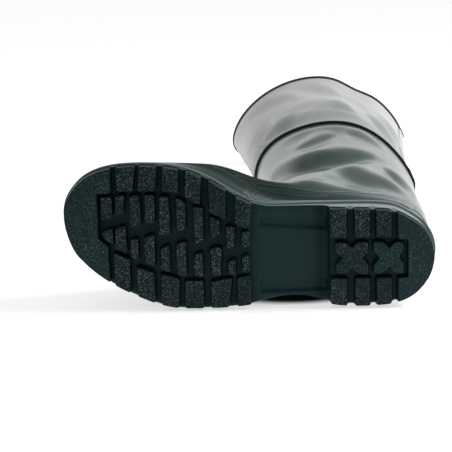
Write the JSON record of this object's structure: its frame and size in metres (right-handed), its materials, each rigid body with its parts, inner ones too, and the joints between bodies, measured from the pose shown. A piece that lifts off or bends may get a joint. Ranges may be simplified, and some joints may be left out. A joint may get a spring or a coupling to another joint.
{
  "type": "hip wader",
  "caption": "Right hip wader lying on its outer side: moulded boot with lugged sole and open shaft, and a coated cloth thigh leg with piped collar.",
  "frame": {"origin": "middle of the whole's box, at the floor under the lying boot", "axes": "+X from the leg's axis to the heel side, +Y up the leg, +Z to the boot's inner side, which is up as it lies"},
  "size_m": [0.3332, 0.7412, 0.1184],
  "materials": {
    "outsole": "satin dark green-black moulded rubber",
    "insole": "matt felt",
    "upper": "satin dark green moulded PVC",
    "piping": "satin black PVC",
    "coated_cloth": "matt grey PVC-coated cloth"
  },
  "bodies": {
    "root": {"outsole": "outsole", "insole": "insole", "upper": "upper", "shaft_piping": "piping", "thigh_leg": "coated_cloth", "collar_piping": "piping", "seam_strip": "coated_cloth"}
  },
  "joints": []
}
